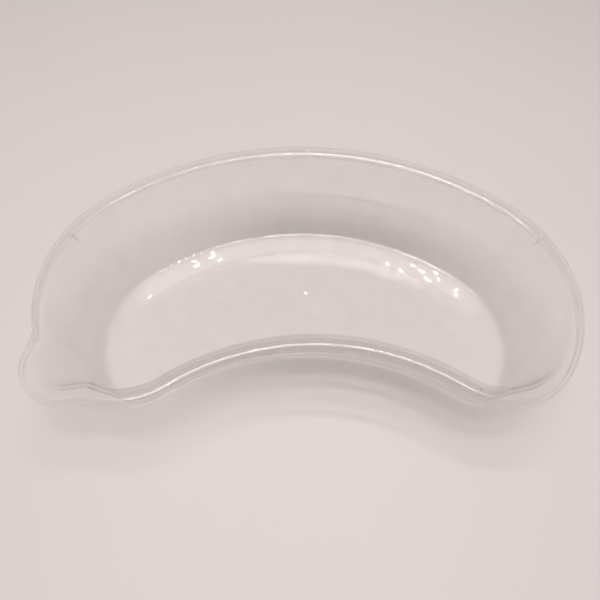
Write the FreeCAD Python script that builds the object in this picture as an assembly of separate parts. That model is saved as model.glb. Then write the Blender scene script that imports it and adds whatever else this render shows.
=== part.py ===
"""Kidney dish (emesis basin) with a pouring lip, injection moulded in one piece of clear polypropylene.

+X runs along the dish, +Y towards its convex back and +Z up; the lip is at the -X end, towards the front.
The dish is drawn about the centre of its back arc, standing on z = 0, and moved at the end so that the
origin lies under the middle of its bounding box.
"""
import FreeCAD, Part
import os
from math import asin, atan2, cos, degrees, hypot, pi, radians, sin, sqrt, tan

Vector = FreeCAD.Vector

# Plan of the rim, at the outside of the skirt: tangent arcs, alike on both sides of the YZ plane.
LENGTH = 250.0
DEPTH = 149.0
BACK_RADIUS = 153.5
SHOULDER_RADIUS = 72.5
TIP_RADIUS = 36.0
FRONT_RADIUS = 107.0

# Section of the shell. An offset is measured inwards from the plan of the rim.
HEIGHT = 50.0
WALL = 1.8
FLANGE_WIDTH = 6.2
SKIRT_DEPTH = 7.6
OUTER_ROUND = 2.3
INNER_ROUND = 0.8
FOOT_OFFSET = 22.8
FOOT_ROUND = 1.2
FLOOR_OFFSET = 34.9
BAND_TILT = radians(9.8)
BAND_BEND = 8.0

# Pouring lip: an arc at its tip, and two straight flanks that run back to the rim.
LIP_CENTRE = (-105.1, 23.8)
LIP_RADIUS = 18.8
LIP_DIRECTION = radians(224.0)
LIP_SPREAD = radians(57.7)
LIP_NOTCH_RADIUS = 4.0
LIP_SKIRT_DEPTH = 4.6
LIP_EDGE = 6.8
LIP_SKIN = 2.1
LIP_REACH = 45.0
KEEL_DIRECTION = radians(231.0)
KEEL_RUN = 21.3
KEEL_DROP = 27.4
LIP_LOW = 12.0

# Webs that tie the skirt to the wall under the flange.
RIB_THICKNESS = 1.2
RIB_EDGE_GAP = 1.0
SHOULDER_RIB_ANGLE = radians(28.0)
TIP_RIB_ANGLE = radians(-112.0)

# The mark in the floor where the mould was filled: a low disc with a broken-off nib.
GATE_Y = 93.0
GATE_RADIUS = 2.6
GATE_RISE = 0.25
NIB_RADIUS = 0.9
NIB_RISE = 0.6

# How far a solid is pushed into its neighbour, or past a face that it cuts.
OVERLAP = 0.2
CLEAR = 2.0


def polar(centre, radius, angle):
    return (centre[0] + radius * cos(angle), centre[1] + radius * sin(angle))


def bend(centre, radius, start, end):
    """Start, middle and end of an arc."""
    return [polar(centre, radius, angle) for angle in (start, (start + end) / 2, end)]


def angle_to(origin, target):
    return atan2(target[1] - origin[1], target[0] - origin[0])


def edges(segments, place):
    """Edges of a run of segments: a line has two points and an arc has three."""
    made = []
    for segment in segments:
        points = [place(*point) for point in segment]
        curve = Part.LineSegment(*points) if len(points) == 2 else Part.Arc(*points)
        made.append(curve.toShape())
    return made


def flat_face(segments, height):
    """A face in the plan at a height, inside a closed run of segments."""
    return Part.Face(Part.Wire(edges(segments, lambda x, y: Vector(x, y, height))))


class Arc:
    """A stretch of plan outline from one angle up to another; side is -1 where the dish is outside it."""

    def __init__(self, centre, radius, start, end, side=1):
        self.centre = centre
        self.radius = radius
        self.start = start
        self.end = end
        self.side = side

    def mirror(self):
        centre = (-self.centre[0], self.centre[1])
        return Arc(centre, self.radius, pi - self.end, pi - self.start, self.side)

    def part(self, start, end):
        return Arc(self.centre, self.radius, start, end, self.side)

    def segment(self, offset):
        return bend(self.centre, self.radius - self.side * offset, self.start, self.end)

    def place(self, angle):
        """Turns a point of the section into a point in space, at an angle round the arc."""
        def placed(offset, height):
            x, y = polar(self.centre, self.radius - self.side * offset, angle)
            return Vector(x, y, height)
        return placed

    def sweep(self, section):
        face = Part.Face(Part.Wire(edges(section, self.place(self.start))))
        return face.revolve(Vector(*self.centre, 0), Vector(0, 0, 1), degrees(self.end - self.start))


class Line:
    """A straight stretch of plan outline; the dish lies on the side away from its outward angle."""

    def __init__(self, start, end, outward):
        self.start = start
        self.end = end
        self.outward = outward

    def segment(self, offset):
        return [polar(point, -offset, self.outward) for point in (self.start, self.end)]

    def sweep(self, section):
        def placed(offset, height):
            return Vector(*polar(self.start, -offset, self.outward), height)
        run = Vector(self.end[0] - self.start[0], self.end[1] - self.start[1], 0)
        return Part.Face(Part.Wire(edges(section, placed))).extrude(run)


# Arcs of the right half of the rim, from the back to the front.
back_half = asin((LENGTH / 2 - SHOULDER_RADIUS) / (BACK_RADIUS - SHOULDER_RADIUS))
back_arc = Arc((0.0, 0.0), BACK_RADIUS, pi / 2 - back_half, pi / 2 + back_half)
shoulder_centre = polar(back_arc.centre, BACK_RADIUS - SHOULDER_RADIUS, back_arc.start)
tip_y = BACK_RADIUS - DEPTH + TIP_RADIUS
shoulder_start = asin((tip_y - shoulder_centre[1]) / (SHOULDER_RADIUS - TIP_RADIUS))
tip_centre = polar(shoulder_centre, SHOULDER_RADIUS - TIP_RADIUS, shoulder_start)
front_y = tip_centre[1] - sqrt((FRONT_RADIUS + TIP_RADIUS) ** 2 - tip_centre[0] ** 2)
front_start = angle_to((0.0, front_y), tip_centre)
front_arc = Arc((0.0, front_y), FRONT_RADIUS, front_start, pi - front_start, -1)
shoulder_arc = Arc(shoulder_centre, SHOULDER_RADIUS, shoulder_start, back_arc.start)
tip_arc = Arc(tip_centre, TIP_RADIUS, front_start - pi, shoulder_start)

# Section: the band slopes up from the flat floor to the foot of the wall, and the wall leans out to the flange.
band_centre = (FLOOR_OFFSET, WALL + BAND_BEND)
band_down = -pi / 2 - BAND_TILT
band_end = polar(band_centre, BAND_BEND, band_down)
foot = (FOOT_OFFSET, band_end[1] + (band_end[0] - FOOT_OFFSET) * tan(BAND_TILT))
edge_centre = (FLANGE_WIDTH, HEIGHT - INNER_ROUND)
foot_to_edge = hypot(edge_centre[0] - foot[0], edge_centre[1] - foot[1])
wall_rise = angle_to(foot, edge_centre) - asin(INNER_ROUND / foot_to_edge)
wall_normal = wall_rise - pi / 2
foot_reach = FOOT_ROUND / sin((wall_rise + BAND_TILT) / 2)
foot_centre = polar(foot, foot_reach, (wall_rise - BAND_TILT) / 2)


def inside_surface():
    """The wall, foot and band as seen from inside the dish, from the flange down to the flat floor."""
    top = bend(edge_centre, INNER_ROUND, pi / 2, wall_normal)
    round_foot = bend(foot_centre, FOOT_ROUND, wall_normal + pi, band_down + 2 * pi)
    floor_bend = bend(band_centre, BAND_BEND, band_down, -pi / 2)
    return [top, [top[2], round_foot[0]], round_foot, [round_foot[2], floor_bend[0]], floor_bend]


def outside_surface():
    """The same stretch a wall's thickness further out, from the flat floor up to the flange."""
    floor_bend = bend(band_centre, BAND_BEND + WALL, -pi / 2, band_down)
    round_foot = bend(foot_centre, FOOT_ROUND + WALL, band_down + 2 * pi, wall_normal + pi)
    height = HEIGHT - WALL - round_foot[2][1]
    top = (round_foot[2][0] + height * cos(wall_rise) / sin(wall_rise), HEIGHT - WALL)
    return [floor_bend, [floor_bend[2], round_foot[0]], round_foot, [round_foot[2], top]]


def skirt(depth):
    """The skirt and the rounded outer edge of the flange, from the flange's underside to its top."""
    centre = (OUTER_ROUND, HEIGHT - OUTER_ROUND)
    low = HEIGHT - depth
    under = bend(centre, OUTER_ROUND - WALL, pi / 2, pi)
    over = bend(centre, OUTER_ROUND, pi, pi / 2)
    lower_edge = [(WALL, low), (0.0, low)]
    return [under, [under[2], lower_edge[0]], lower_edge, [lower_edge[1], over[0]], over]


def closed(*runs):
    """Joins runs of segments end to end, and closes the last onto the first."""
    joined = []
    for run in runs:
        if joined and joined[-1][-1] != run[0][0]:
            joined.append([joined[-1][-1], run[0][0]])
        joined.extend(run)
    joined.append([joined[-1][-1], joined[0][0]])
    return joined


def shell_section():
    return closed(inside_surface(), outside_surface(), skirt(SKIRT_DEPTH))


def mouth_section():
    """The section where the lip takes over from the skirt: the flange ends square."""
    square_end = [[(OUTER_ROUND, HEIGHT - WALL), (OUTER_ROUND, HEIGHT)]]
    return closed(inside_surface(), outside_surface(), square_end)


def lip_rim_section():
    square_end = [[(LIP_EDGE, HEIGHT), (LIP_EDGE, HEIGHT - WALL)]]
    return closed(skirt(LIP_SKIRT_DEPTH), square_end)


def cavity_section():
    top = HEIGHT + CLEAR
    return closed(inside_surface(), [[(FLOOR_OFFSET, top), (FLANGE_WIDTH, top)]])


def notch(arc, turn):
    """The small arc between a flank of the lip and an arc of the rim: its centre and the flank's end."""
    outward = LIP_DIRECTION + turn * LIP_SPREAD
    away = outward + turn * pi / 2
    start = polar(LIP_CENTRE, LIP_RADIUS + LIP_NOTCH_RADIUS, outward)
    apart = (start[0] - arc.centre[0], start[1] - arc.centre[1])
    along = apart[0] * cos(away) + apart[1] * sin(away)
    gap = apart[0] ** 2 + apart[1] ** 2 - (arc.radius + LIP_NOTCH_RADIUS) ** 2
    length = -along - sqrt(along ** 2 - gap)
    return polar(start, length, away), polar(polar(LIP_CENTRE, LIP_RADIUS, outward), length, away)


left_shoulder = shoulder_arc.mirror()
left_tip = tip_arc.mirror()
upper_notch, upper_end = notch(left_shoulder, -1)
lower_notch, lower_end = notch(left_tip, 1)
upper_join = angle_to(left_shoulder.centre, upper_notch) % (2 * pi)
lower_join = angle_to(left_tip.centre, lower_notch) % (2 * pi)


def lip_chain():
    """Outline of the lip, from where it leaves the rim at the shoulder to where it meets it at the tip."""
    upper_out = LIP_DIRECTION - LIP_SPREAD
    lower_out = LIP_DIRECTION + LIP_SPREAD
    upper_turn = angle_to(upper_notch, left_shoulder.centre)
    lower_turn = angle_to(lower_notch, left_tip.centre)
    return [
        Arc(upper_notch, LIP_NOTCH_RADIUS, upper_out - pi, upper_turn, -1),
        Line(upper_end, polar(LIP_CENTRE, LIP_RADIUS, upper_out), upper_out),
        Arc(LIP_CENTRE, LIP_RADIUS, upper_out, lower_out),
        Line(polar(LIP_CENTRE, LIP_RADIUS, lower_out), lower_end, lower_out),
        Arc(lower_notch, LIP_NOTCH_RADIUS, lower_turn, lower_out - pi, -1),
    ]


def fused(solids):
    return solids[0].multiFuse(solids[1:])


def floor_outline():
    arcs = [back_arc, left_shoulder, left_tip, front_arc, tip_arc, shoulder_arc]
    runs = [arc.segment(FLOOR_OFFSET) for arc in arcs]
    runs[3].reverse()
    return runs


def floor_plate():
    return flat_face(floor_outline(), 0.0).extrude(Vector(0, 0, WALL))


def bowl():
    """Floor, wall, flange and skirt all round, with the skirt left out across the mouth of the lip."""
    whole = [
        back_arc,
        shoulder_arc,
        tip_arc,
        front_arc,
        left_shoulder.part(left_shoulder.start, upper_join),
        left_tip.part(lower_join, left_tip.end),
    ]
    open_to_lip = [
        left_shoulder.part(upper_join, left_shoulder.end),
        left_tip.part(left_tip.start, lower_join),
    ]
    swept = [arc.sweep(shell_section()) for arc in whole]
    swept += [arc.sweep(mouth_section()) for arc in open_to_lip]
    return fused(swept + [floor_plate()])


def cavity():
    """The space inside the dish next to the lip."""
    swept = [arc.sweep(cavity_section()) for arc in (left_shoulder, left_tip)]
    middle = flat_face(floor_outline(), WALL).extrude(Vector(0, 0, HEIGHT + CLEAR - WALL))
    return fused(swept + [middle])


def channel(grow):
    """The slanting trough of the lip, from above the rim down to inside the dish."""
    radius = LIP_RADIUS - LIP_EDGE + grow
    upper_out = LIP_DIRECTION - LIP_SPREAD
    lower_out = LIP_DIRECTION + LIP_SPREAD
    tip = bend(LIP_CENTRE, radius, upper_out, lower_out)
    upper_far = polar(tip[0], LIP_REACH, upper_out - pi / 2)
    lower_far = polar(tip[2], LIP_REACH, lower_out + pi / 2)
    outline = [[upper_far, tip[0]], tip, [tip[2], lower_far], [lower_far, upper_far]]
    slope = KEEL_RUN / KEEL_DROP
    inwards = Vector(-cos(KEEL_DIRECTION) * slope, -sin(KEEL_DIRECTION) * slope, -1)
    trough = flat_face(outline, HEIGHT).extrude(inwards * (HEIGHT - LIP_LOW))
    above = flat_face(outline, HEIGHT).extrude(inwards * -CLEAR)
    return trough, above


def lip():
    """The lip's own shell: rim, flange plate and trough."""
    chain = lip_chain()
    rim = [piece.sweep(lip_rim_section()) for piece in chain]
    border = [piece.segment(OUTER_ROUND) for piece in chain]
    border[0].reverse()
    border[4].reverse()
    plate = flat_face(closed(border), HEIGHT - WALL).extrude(Vector(0, 0, WALL))
    return fused(rim + [plate, channel(LIP_SKIN)[0]])


def rib(arc, angle):
    """A web under the flange, square to the rim at an angle round one of its arcs."""
    low = HEIGHT - SKIRT_DEPTH + RIB_EDGE_GAP
    high = HEIGHT - WALL + OVERLAP
    wall_foot, wall_top = outside_surface()[-1]
    lean = (wall_top[0] - wall_foot[0]) / (wall_top[1] - wall_foot[1])
    wall_low = wall_top[0] + lean * (low - wall_top[1]) + WALL / 2
    skirt_side = WALL - OVERLAP
    corners = [(skirt_side, low), (wall_low, low), (wall_top[0] + WALL / 2, high), (skirt_side, high)]
    section = [[corners[i - 1], corners[i]] for i in range(4)]
    face = Part.Face(Part.Wire(edges(section, arc.place(angle))))
    across = Vector(-sin(angle), cos(angle), 0) * RIB_THICKNESS
    face.translate(across * -0.5)
    return face.extrude(across)


def ribs():
    spots = [(back_arc, pi / 2)]
    for side in (shoulder_arc, SHOULDER_RIB_ANGLE), (tip_arc, TIP_RIB_ANGLE):
        spots.append(side)
        spots.append((side[0].mirror(), pi - side[1]))
    return [rib(arc, angle) for arc, angle in spots]


def gate_mark():
    sunk = WALL - OVERLAP
    disc = Part.makeCylinder(GATE_RADIUS, OVERLAP + GATE_RISE, Vector(0, GATE_Y, sunk))
    nib = Part.makeCylinder(NIB_RADIUS, OVERLAP + NIB_RISE, Vector(0, GATE_Y, sunk))
    return [disc, nib]


def kidney_dish():
    inside = channel(0.0)
    lip_shell = lip().cut(cavity())
    dish = fused([bowl(), lip_shell] + ribs() + gate_mark())
    dish = dish.cut(inside[0]).cut(inside[1])
    return dish.removeSplitter()


dish = kidney_dish()
box = dish.optimalBoundingBox(False, False)
dish.translate(Vector(-(box.XMin + box.XMax) / 2, -(box.YMin + box.YMax) / 2, -box.ZMin))
print("solids", len(dish.Solids), "valid", dish.isValid(), "volume in mm3", round(dish.Volume, 1))
print("size in mm", round(box.XLength, 3), round(box.YLength, 3), round(box.ZLength, 3))
os.makedirs("parts", exist_ok=True)
dish.exportStep("parts/kidney_dish.step")
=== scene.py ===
"""Looks of the clear kidney dish: its moulded shell in fine detail, milky polypropylene, table and light.

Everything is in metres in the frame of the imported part: +X along the dish, away from its pouring lip, +Y
towards its convex back and +Z up. Sections are worked out in millimetres, as in the part, and scaled last.
"""
from math import asin, atan2, cos, hypot, pi, radians, sin, sqrt, tan

import bmesh
import bpy
import numpy as np
from mathutils import Matrix, Vector


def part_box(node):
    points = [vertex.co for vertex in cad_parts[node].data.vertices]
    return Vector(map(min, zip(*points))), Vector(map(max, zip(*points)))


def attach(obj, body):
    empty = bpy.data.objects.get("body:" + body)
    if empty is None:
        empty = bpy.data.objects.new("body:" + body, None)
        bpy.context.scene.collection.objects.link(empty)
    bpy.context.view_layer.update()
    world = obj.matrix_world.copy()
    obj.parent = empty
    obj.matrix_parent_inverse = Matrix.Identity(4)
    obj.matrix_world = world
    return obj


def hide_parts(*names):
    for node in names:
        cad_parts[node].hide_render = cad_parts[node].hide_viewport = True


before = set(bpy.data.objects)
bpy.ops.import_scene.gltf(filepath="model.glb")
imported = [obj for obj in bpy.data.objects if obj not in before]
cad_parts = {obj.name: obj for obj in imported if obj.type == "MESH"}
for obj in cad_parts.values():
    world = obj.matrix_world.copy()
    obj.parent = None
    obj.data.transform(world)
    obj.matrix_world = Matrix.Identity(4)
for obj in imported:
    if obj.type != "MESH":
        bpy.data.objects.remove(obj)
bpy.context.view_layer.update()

MM = 0.001
NODE = "kidney_dish"
low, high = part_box(NODE)

# Plan of the rim in mm, at the outside of the skirt. Its overall sizes come from the frame.
LENGTH = (high[0] - low[0]) / MM
HEIGHT = (high[2] - low[2]) / MM
BACK_Y = high[1] / MM
DEPTH = 149.0
BACK_RADIUS = 153.5
SHOULDER_RADIUS = 72.5
TIP_RADIUS = 36.0
FRONT_RADIUS = 107.0

# Section of the shell in mm. An offset is measured inwards from the plan of the rim.
WALL = 1.8
FLANGE_WIDTH = 6.2
SKIRT_DEPTH = 7.6
OUTER_ROUND = 2.3
INNER_ROUND = 0.8
SKIRT_EDGE_ROUND = 0.35
FOOT_OFFSET = 22.8
FOOT_ROUND = 1.2
FLOOR_OFFSET = 34.9
BAND_TILT = radians(9.8)
BAND_BEND = 8.0

# Pouring lip in mm, from the centre of the back arc.
LIP_CENTRE = np.array([-105.1, 23.8])
LIP_RADIUS = 18.8
LIP_DIRECTION = radians(224.0)
LIP_SPREAD = radians(57.7)
LIP_SKIRT_DEPTH = 4.6
LIP_EDGE = 6.8
LIP_SKIN = 2.1
LIP_SPAN = 34.0
KEEL_DIRECTION = radians(231.0)
KEEL_LEAN = 21.3 / 27.4
RIM_BLEND = 2.0
CREASE_BLEND = 1.0

# Webs under the flange, and the mark where the mould was filled, in mm.
RIB_HALF = 0.6
RIB_DRAFT = 0.12
RIB_LOW = HEIGHT - SKIRT_DEPTH + 1.0
SHOULDER_RIB_ANGLE = radians(28.0)
TIP_RIB_ANGLE = radians(-112.0)
GATE_Y = 93.0
GATE_PROFILE = [(3.0, 0.0), (2.6, 0.03), (2.35, 0.25), (1.1, 0.25), (0.9, 0.35), (0.7, 0.6), (0.3, 0.66)]
GATE_SIDES = 48

# Spacing of the mesh's columns round the rim in mm, finer where the lip is, and facets of the lip's wedge.
COLUMN_STEP = 1.5
LIP_STEP = 0.5
LIP_FACETS = 240

# Smallest cosine that counts as facing the lip, and a reach in mm that leaves the lip out.
LEAST_FACING = 1e-6
NO_LIP = -1000.0

# Gap under the dish in metres, so that its base and the table top aren't in one plane.
TABLE_GAP = 0.0001
TABLE_RADIUS = 4.0

# Camera: the target lies on the table, in metres, and the turn is measured from the dish's short axis.
CAMERA_TARGET = Vector((-0.0030, 0.0086, 0.0))
CAMERA_DISTANCE = 0.354
CAMERA_ELEVATION = radians(56.6)
CAMERA_TURN = radians(5.25)
CAMERA_ROLL = radians(4.7)
CAMERA_LENS = 39.3

WARM_WHITE = (1.0, 0.9, 0.88)

# Spots on the back of the band that mirror a small lamp: degrees round the back arc, and offset in mm.
# They are the places of the highlights in the photograph, measured and carried onto the band.
GLINTS = [(119.2, 27), (119, 30), (114, 25.7), (114.4, 28.7), (112.5, 31.5), (67, 33), (62.8, 33.3),
          (60.6, 28.5), (58.5, 29.3), (56, 32.3), (55, 26.5), (53, 28.8)]

# The small lamps' distance from their spots and their sides, in metres.
GLINT_DISTANCE = 1.6
GLINT_SIZE = (0.002, 0.002)
GLINT_RADIANCE = 300.0


def polar(centre, radius, angle):
    return (centre[0] + radius * cos(angle), centre[1] + radius * sin(angle))


def angle_to(origin, target):
    return atan2(target[1] - origin[1], target[0] - origin[0])


class Arc:
    """A stretch of the rim in plan, taken anticlockwise; side is -1 where the dish is outside the arc."""

    def __init__(self, centre, radius, start, end, side=1, step=COLUMN_STEP, ribs=()):
        self.centre = centre
        self.radius = radius
        self.start = start
        self.end = end
        self.side = side
        self.step = step
        self.ribs = ribs

    def mirror(self, step=COLUMN_STEP):
        centre = (-self.centre[0], self.centre[1])
        ribs = [pi - angle for angle in self.ribs]
        return Arc(centre, self.radius, pi - self.end, pi - self.start, self.side, step, ribs)

    def angles(self):
        """Angles of the columns, each with a 1 where the column is part of a rib."""
        count = round(abs(self.end - self.start) * self.radius / self.step)
        even = np.linspace(self.start, self.end, count, endpoint=False)
        room = (self.step / 2 + RIB_HALF + RIB_DRAFT) / self.radius
        marked = [(a, 0) for a in even if all(abs(a - rib) > room for rib in self.ribs)]
        for rib in self.ribs:
            for side in (-1, 1):
                marked.append((rib + side * (RIB_HALF + RIB_DRAFT) / self.radius, 0))
                marked.append((rib + side * RIB_HALF / self.radius, 1))
        return sorted(marked, reverse=self.end < self.start)

    def columns(self):
        """Centre, radius, side, outward direction and rib mark of each column."""
        for angle, rib in self.angles():
            yield (*self.centre, self.radius, self.side, cos(angle), sin(angle), rib)


def rim_arcs():
    """The rim's arcs, anticlockwise from the right-hand end of the back arc."""
    half = asin((LENGTH / 2 - SHOULDER_RADIUS) / (BACK_RADIUS - SHOULDER_RADIUS))
    back = Arc((0.0, 0.0), BACK_RADIUS, pi / 2 - half, pi / 2 + half, ribs=(pi / 2,))
    shoulder_centre = polar((0.0, 0.0), BACK_RADIUS - SHOULDER_RADIUS, back.start)
    tip_y = BACK_RADIUS - DEPTH + TIP_RADIUS
    tip_end = asin((tip_y - shoulder_centre[1]) / (SHOULDER_RADIUS - TIP_RADIUS))
    tip_centre = polar(shoulder_centre, SHOULDER_RADIUS - TIP_RADIUS, tip_end)
    front_y = tip_centre[1] - sqrt((FRONT_RADIUS + TIP_RADIUS) ** 2 - tip_centre[0] ** 2)
    front_start = angle_to((0.0, front_y), tip_centre)
    front = Arc((0.0, front_y), FRONT_RADIUS, pi - front_start, front_start, -1)
    shoulder = Arc(shoulder_centre, SHOULDER_RADIUS, tip_end, back.start, ribs=(SHOULDER_RIB_ANGLE,))
    tip = Arc(tip_centre, TIP_RADIUS, front_start - pi, tip_end, ribs=(TIP_RIB_ANGLE,))
    return [back, shoulder.mirror(LIP_STEP), tip.mirror(LIP_STEP), front, tip, shoulder]


# The band slopes up from the flat floor to the foot of the wall, and the wall leans out to the flange.
band_centre = (FLOOR_OFFSET, WALL + BAND_BEND)
band_down = -pi / 2 - BAND_TILT
band_end = polar(band_centre, BAND_BEND, band_down)
foot = (FOOT_OFFSET, band_end[1] + (band_end[0] - FOOT_OFFSET) * tan(BAND_TILT))
edge_centre = (FLANGE_WIDTH, HEIGHT - INNER_ROUND)
foot_to_edge = hypot(edge_centre[0] - foot[0], edge_centre[1] - foot[1])
wall_rise = angle_to(foot, edge_centre) - asin(INNER_ROUND / foot_to_edge)
wall_normal = wall_rise - pi / 2
foot_reach = FOOT_ROUND / sin((wall_rise + BAND_TILT) / 2)
foot_centre = polar(foot, foot_reach, (wall_rise - BAND_TILT) / 2)


def bend(centre, radius, start, end, count):
    return [polar(centre, radius, a) for a in np.linspace(start, end, count)]


def run(start, end, count, margin=0.15):
    """Points along a straight stretch without its ends, with one close to each end to hold the shading."""
    length = hypot(end[0] - start[0], end[1] - start[1])
    shares = np.linspace(margin / length, 1 - margin / length, count)
    return [(start[0] + (end[0] - start[0]) * s, start[1] + (end[1] - start[1]) * s) for s in shares]


def inside_profile():
    """From the flat floor up the band, the foot and the wall to the top of the flange's inner edge."""
    floor_bend = bend(band_centre, BAND_BEND, -pi / 2, band_down, 7)
    toe = bend(foot_centre, FOOT_ROUND, band_down, wall_normal - pi, 8)
    edge = bend(edge_centre, INNER_ROUND, wall_normal, pi / 2, 8)
    return floor_bend + run(floor_bend[-1], toe[0], 8) + toe + run(toe[-1], edge[0], 34) + edge


def rim_profile():
    """From the flange's flat top over its outer edge, round the skirt and back under the flange."""
    corner = (OUTER_ROUND, HEIGHT - OUTER_ROUND)
    lower = HEIGHT - SKIRT_DEPTH + SKIRT_EDGE_ROUND
    over = bend(corner, OUTER_ROUND, pi / 2, pi, 10)
    outer_edge = bend((SKIRT_EDGE_ROUND, lower), SKIRT_EDGE_ROUND, pi, 3 * pi / 2, 5)
    inner_edge = bend((WALL - SKIRT_EDGE_ROUND, lower), SKIRT_EDGE_ROUND, -pi / 2, 0, 5)
    under = bend(corner, OUTER_ROUND - WALL, pi, pi / 2, 4)
    flat = run((FLANGE_WIDTH, HEIGHT), over[0], 4)
    skirt = run(over[-1], outer_edge[0], 4)
    return flat + over + skirt + outer_edge + inner_edge + [(WALL, RIB_LOW)], under


def outside_profile():
    """From the flange's underside down the outside of the wall, round the foot and in along the band."""
    toe = bend(foot_centre, FOOT_ROUND + WALL, wall_normal - pi, band_down, 9)
    lean = cos(wall_rise) / sin(wall_rise)
    top = (toe[0][0] + (HEIGHT - WALL - toe[0][1]) * lean, HEIGHT - WALL)
    at_rib = (toe[0][0] + (RIB_LOW - toe[0][1]) * lean, RIB_LOW)
    floor_bend = bend(band_centre, BAND_BEND + WALL, band_down, -pi / 2, 7)
    wall = [at_rib] + run(at_rib, toe[0], 24) + toe
    return [top] + run(top, at_rib, 4), wall + run(toe[-1], floor_bend[0], 6) + floor_bend


def profile():
    """The section as rows of offset, height, lip radius, lip shift and blend, then a rib's two end rows."""
    trough = LIP_RADIUS - LIP_EDGE - INNER_ROUND / 2
    rows = []
    for offset, height in inside_profile():
        rounded = height - edge_centre[1]
        flare = INNER_ROUND - sqrt(INNER_ROUND ** 2 - rounded ** 2) if rounded > 0 else 0.0
        rows.append((offset, height, trough + flare, (HEIGHT - height) * KEEL_LEAN, CREASE_BLEND))
    rim, under = rim_profile()
    rows += [(offset, height, LIP_RADIUS - offset, 0.0, RIM_BLEND) for offset, height in rim]
    rib_start = len(rows) - 1
    rows += [(offset, height, LIP_RADIUS - offset, 0.0, RIM_BLEND) for offset, height in under]
    above, below = outside_profile()
    for offset, height in above + below:
        rows.append((offset, height, trough + LIP_SKIN, (HEIGHT - height) * KEEL_LEAN, CREASE_BLEND))
    rib_end = rib_start + len(under) + len(above) + 1
    return np.array(rows), rib_start, rib_end


def lip_reach(point, outward, radius, shift):
    """How far out each column meets the edge of the lip's rounded wedge, or NO_LIP where it misses."""
    turns = np.linspace(LIP_DIRECTION - LIP_SPREAD, LIP_DIRECTION + LIP_SPREAD, LIP_FACETS)
    normals = np.stack([np.cos(turns), np.sin(turns)])
    centre = LIP_CENTRE - np.array([cos(KEEL_DIRECTION), sin(KEEL_DIRECTION)]) * shift
    facing = outward @ normals
    gap = radius - (point - centre) @ normals
    ahead = np.maximum(facing, LEAST_FACING)
    behind = np.minimum(facing, -LEAST_FACING)
    ends = np.where(facing > LEAST_FACING, gap / ahead, np.inf).min(axis=1)
    starts = np.where(facing < -LEAST_FACING, gap / behind, -np.inf).max(axis=1)
    near = np.hypot(*(point - LIP_CENTRE).T) < LIP_SPAN
    return np.where(near & (ends > starts) & np.isfinite(ends), ends, NO_LIP)


def blended(a, b, size):
    """The larger of two reaches, rounded where they are nearly equal."""
    near = np.maximum(size - np.abs(a - b), 0.0) / size
    return np.maximum(a, b) + near ** 2 * size / 4


def shorter_skirt(points, reach):
    """Lifts the skirt's lower part where the rim stands out round the lip."""
    share = np.clip((HEIGHT - OUTER_ROUND - points[:, 2]) / (SKIRT_DEPTH - OUTER_ROUND), 0.0, 1.0)
    points[:, 2] += np.clip(reach / RIM_BLEND, 0.0, 1.0) * share * (SKIRT_DEPTH - LIP_SKIRT_DEPTH)


def shell_points():
    """Grid of points in mm: a row for each column round the rim, with the section's points along it."""
    columns = np.array([column for arc in rim_arcs() for column in arc.columns()])
    centre, radius, side = columns[:, 0:2], columns[:, 2], columns[:, 3]
    direction, is_rib = columns[:, 4:6], columns[:, 6] > 0
    outward = direction * side[:, None]
    rim = centre + direction * radius[:, None]
    rows, rib_start, rib_end = profile()
    points = np.empty((len(columns), len(rows), 3))
    for i, (offset, height, lip_radius, shift, blend) in enumerate(rows):
        reach = blended(np.full(len(rim), -offset), lip_reach(rim, outward, lip_radius, shift), blend)
        points[:, i, 0:2] = rim + outward * reach[:, None]
        points[:, i, 2] = height
        if shift == 0.0:
            shorter_skirt(points[:, i], reach + offset)
    share = np.linspace(0, 1, rib_end - rib_start + 1)[None, :, None]
    first = points[is_rib, rib_start][:, None]
    last = points[is_rib, rib_end][:, None]
    points[is_rib, rib_start:rib_end + 1] = first * (1 - share) + last * share
    return points


def gate_rings():
    """Rings of the gate mark in mm, from the floor up to the broken-off nib."""
    turns = np.linspace(0, 2 * pi, GATE_SIDES, endpoint=False)
    for radius, rise in GATE_PROFILE:
        yield [(radius * cos(t), GATE_Y + radius * sin(t), WALL + rise) for t in turns]


def ring_edges(bm, verts):
    return [bm.edges.get((a, b)) or bm.edges.new((a, b)) for a, b in zip(verts, verts[1:] + verts[:1])]


def strip(bm, first, second):
    """Quads between two closed rings."""
    for i in range(len(first)):
        bm.faces.new((first[i - 1], first[i], second[i], second[i - 1]))


def dish_mesh():
    """One closed, smooth mesh of the moulding."""
    bm = bmesh.new()
    shift = np.array([0.0, BACK_Y - BACK_RADIUS, 0.0])

    def place(point):
        return bm.verts.new((np.array(point) + shift) * MM)

    points = shell_points()
    rings = [[place(point) for point in points[:, i]] for i in range(points.shape[1])]
    for lower, upper in zip(rings, rings[1:]):
        strip(bm, upper, lower)
    gate = [[place(point) for point in ring] for ring in gate_rings()]
    for lower, upper in zip(gate, gate[1:]):
        strip(bm, upper, lower)
    bm.faces.new(gate[-1])
    bm.faces.new(rings[-1])
    bmesh.ops.triangle_fill(bm, use_beauty=True, edges=ring_edges(bm, rings[0]) + ring_edges(bm, gate[0]))
    bmesh.ops.recalc_face_normals(bm, faces=bm.faces)
    mesh = bpy.data.meshes.new("dish_shell")
    bm.to_mesh(mesh)
    bm.free()
    mesh.polygons.foreach_set("use_smooth", [True] * len(mesh.polygons))
    return mesh


def link(name, data):
    made = bpy.data.objects.new(name, data)
    bpy.context.scene.collection.objects.link(made)
    return made


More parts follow.
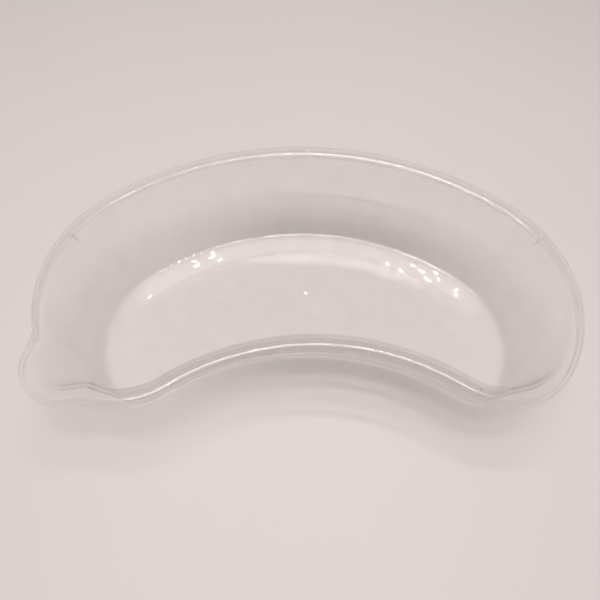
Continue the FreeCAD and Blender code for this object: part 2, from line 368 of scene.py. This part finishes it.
class Nodes:
    """A material's node tree, with short calls to add and wire its nodes."""

    def __init__(self, tree):
        self.tree = tree
        tree.nodes.clear()

    def add(self, kind, inputs=None, **settings):
        node = self.tree.nodes.new("ShaderNode" + kind)
        for name, value in settings.items():
            setattr(node, name, value)
        for name, value in (inputs or {}).items():
            if isinstance(value, bpy.types.NodeSocket):
                self.tree.links.new(value, node.inputs[name])
            else:
                node.inputs[name].default_value = value
        return node


def new_material(name):
    material = bpy.data.materials.new(name)
    material.use_nodes = True
    return material, Nodes(material.node_tree)


def deepest_shade(n, place):
    """Most light that a steep wall keeps from the table: half at the dish's middle, and none at its ends."""
    x = n.add("SeparateXYZ", {"Vector": place}).outputs["X"]
    aside = n.add("Math", {0: x, 1: 0.02}, operation="SUBTRACT").outputs[0]
    away = n.add("Math", {0: aside}, operation="ABSOLUTE").outputs[0]
    ends = {"Value": away, "From Min": 0.03, "From Max": 0.09, "To Min": 0.5, "To Max": 0.0}
    return n.add("MapRange", ends).outputs["Result"]


def milky_body(n, place):
    """Light goes straight on through the plastic, apart from a slightly cloudy share that is scattered."""
    haze = n.add("TexNoise", {"Vector": place, "Scale": 60.0, "Detail": 4.0, "Roughness": 0.6})
    share = {"Value": haze.outputs["Fac"], "From Min": 0.3, "From Max": 0.7, "To Min": 0.09, "To Max": 0.13}
    cloud = n.add("MapRange", share)
    clear = n.add("BsdfTransparent", {"Color": (0.995, 0.993, 0.99, 1.0)})
    passed_on = n.add("BsdfTranslucent", {"Color": (0.99, 0.985, 0.98, 1.0)})
    sent_back = n.add("BsdfDiffuse", {"Color": (0.99, 0.985, 0.98, 1.0)})
    milk = n.add("MixShader", {0: 0.5, 1: passed_on.outputs[0], 2: sent_back.outputs[0]})
    return n.add("MixShader", {0: cloud.outputs["Result"], 1: clear.outputs[0], 2: milk.outputs[0]})


def glossy_skin(n, place):
    """Gloss with faint waves, sharpest on the floor and the band and softer on the wall and the flange."""
    height = n.add("SeparateXYZ", {"Vector": place}).outputs["Z"]
    above_band = {"Value": height, "From Min": 0.0036, "From Max": 0.0042, "To Min": 0.01, "To Max": 0.1}
    rough = n.add("MapRange", above_band).outputs["Result"]
    waves = n.add("TexNoise", {"Vector": place, "Scale": 240.0, "Detail": 1.0}).outputs["Fac"]
    bump = n.add("Bump", {"Height": waves, "Strength": 0.3, "Distance": 0.000012}).outputs["Normal"]
    return n.add("BsdfGlossy", {"Roughness": rough, "Normal": bump})


def mirrored_share(n, place):
    """Share of light that glances off the skin; light on its way from a lamp to the table has its own."""
    facing = n.add("LayerWeight", {"Blend": 0.5}).outputs["Facing"]
    grazing = n.add("Math", {0: facing, 1: 5.0}, operation="POWER").outputs[0]
    seen = n.add("MapRange", {"Value": grazing, "To Min": 0.04, "To Max": 0.9}).outputs["Result"]
    steepness = n.add("Math", {0: facing, 1: 1.2}, operation="POWER").outputs[0]
    shade = {"Value": steepness, "To Min": 0.01, "To Max": deepest_shade(n, place)}
    stopped = n.add("MapRange", shade).outputs["Result"]
    to_lamp = n.add("LightPath").outputs["Is Shadow Ray"]
    return n.add("Mix", {"Factor": to_lamp, "A": seen, "B": stopped}, data_type="FLOAT").outputs["Result"]


def polypropylene():
    """Milky see-through plastic with a glossy skin."""
    material, n = new_material("milky_polypropylene")
    place = n.add("TexCoord").outputs["Object"]
    body = milky_body(n, place)
    skin = glossy_skin(n, place)
    mix = n.add("MixShader", {0: mirrored_share(n, place), 1: body.outputs[0], 2: skin.outputs[0]})
    n.add("OutputMaterial", {"Surface": mix.outputs[0]})
    return material


def table_top():
    """Smooth pale laminate with a faint mottle."""
    material, n = new_material("table_top")
    place = n.add("TexCoord").outputs["Object"]
    mottle = n.add("TexNoise", {"Vector": place, "Scale": 5.0, "Detail": 3.0}).outputs["Fac"]
    colour = n.add("Mix", {"Factor": mottle, "A": (0.75, 0.745, 0.74, 1.0), "B": (0.79, 0.785, 0.78, 1.0)},
                   data_type="RGBA")
    surface = n.add("BsdfPrincipled", {"Base Color": colour.outputs["Result"], "Roughness": 0.6})
    n.add("OutputMaterial", {"Surface": surface.outputs[0]})
    return material


def make_floor():
    """A round table top, much wider than any view of the dish."""
    bm = bmesh.new()
    bmesh.ops.create_circle(bm, cap_ends=True, segments=96, radius=TABLE_RADIUS)
    mesh = bpy.data.meshes.new("table")
    bm.to_mesh(mesh)
    bm.free()
    floor = link("table", mesh)
    floor.location.z = low[2] - TABLE_GAP
    mesh.materials.append(table_top())


def towards(azimuth, elevation):
    """Direction from the dish; azimuth 0 is behind it, along +Y, and 90 is at +X."""
    turn, rise = radians(azimuth), radians(elevation)
    return Vector((sin(turn) * cos(rise), cos(turn) * cos(rise), sin(rise)))


def lamp(name, spot, away, distance, size, radiance):
    """A flat lamp that faces a spot, with its distance and sides in metres."""
    data = bpy.data.lights.new(name, "AREA")
    data.shape = "RECTANGLE"
    data.size, data.size_y = size
    data.energy = radiance * pi * size[0] * size[1]
    data.color = WARM_WHITE
    made = link(name, data)
    made.location = spot + away * distance
    made.rotation_euler = away.to_track_quat("Z", "Y").to_euler()
    return made


def camera_axes():
    """Directions to the right, up and straight ahead of the camera."""
    turn, rise = CAMERA_TURN, CAMERA_ELEVATION
    ahead = Vector((sin(turn) * cos(rise), cos(turn) * cos(rise), -sin(rise)))
    across = Vector((cos(turn), -sin(turn), 0.0))
    upward = across.cross(ahead)
    right = across * cos(CAMERA_ROLL) + upward * sin(CAMERA_ROLL)
    up = upward * cos(CAMERA_ROLL) - across * sin(CAMERA_ROLL)
    return right, up, ahead


def glint(angle, offset):
    """A small lamp in the ceiling, where a spot on the band mirrors it to the camera."""
    turn = radians(angle)
    x, y = polar((0.0, BACK_Y - BACK_RADIUS), BACK_RADIUS - offset, turn)
    spot = Vector((x, y, foot[1] - (offset - FOOT_OFFSET) * tan(BAND_TILT))) * MM
    tilt = sin(BAND_TILT)
    normal = Vector((-cos(turn) * tilt, -sin(turn) * tilt, cos(BAND_TILT)))
    camera_place = CAMERA_TARGET - camera_axes()[2] * CAMERA_DISTANCE
    away = (spot - camera_place).normalized().reflect(normal)
    lamp("ceiling_lamp", spot, away, GLINT_DISTANCE, GLINT_SIZE, GLINT_RADIANCE)


def make_room():
    """Soft light from all round, with a bright part of the ceiling straight overhead."""
    world = bpy.data.worlds.new("room")
    world.use_nodes = True
    n = Nodes(world.node_tree)
    direction = n.add("TexCoord").outputs["Generated"]
    up = n.add("SeparateXYZ", {"Vector": direction}).outputs["Z"]
    walls = n.add("MapRange", {"Value": up, "To Min": 0.22, "To Max": 0.32})
    overhead = {"Value": up, "From Min": 0.92, "From Max": 0.94, "To Min": 0.0, "To Max": 1.4}
    ceiling = n.add("MapRange", overhead)
    level = n.add("Math", {0: walls.outputs["Result"], 1: ceiling.outputs["Result"]}, operation="ADD")
    sky = n.add("Background", {"Color": (*WARM_WHITE, 1.0), "Strength": level.outputs[0]})
    n.add("OutputWorld", {"Surface": sky.outputs[0]})
    bpy.context.scene.world = world


def make_light():
    """Two long overhead lamps, one that only shows in reflections, the small ceiling lamps and the room."""
    middle = Vector((0.0, 0.0, 0.0))
    lamp("front_lamp", middle, towards(190, 80), 1.2, (0.42, 0.06), 46.0)
    lamp("back_lamp", middle, towards(8, 83), 0.7, (0.24, 0.032), 42.0)
    sheen = lamp("sheen", middle, towards(184, 83), 1.2, (0.5, 0.06), 28.0)
    sheen.visible_diffuse = False
    for angle, offset in GLINTS:
        glint(angle, offset)
    make_room()


def make_camera():
    right, up, ahead = camera_axes()
    data = bpy.data.cameras.new("camera")
    data.lens = CAMERA_LENS
    data.sensor_width = 36.0
    data.clip_start = 0.01
    camera = link("camera", data)
    turned = Matrix((right, up, -ahead)).transposed().to_4x4()
    camera.matrix_world = Matrix.Translation(CAMERA_TARGET - ahead * CAMERA_DISTANCE) @ turned
    bpy.context.scene.camera = camera


def make_dish():
    mesh = dish_mesh()
    mesh.materials.append(polypropylene())
    dish = link("dish_shell", mesh)
    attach(dish, "root")
    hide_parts(NODE)


make_dish()
make_floor()
make_light()
make_camera()
bpy.context.scene.view_settings.view_transform = "Standard"
bpy.context.scene.cycles.transparent_max_bounces = 48
bpy.context.scene.cycles.max_bounces = 16
bpy.context.scene.cycles.diffuse_bounces = 8
bpy.context.scene.cycles.glossy_bounces = 8
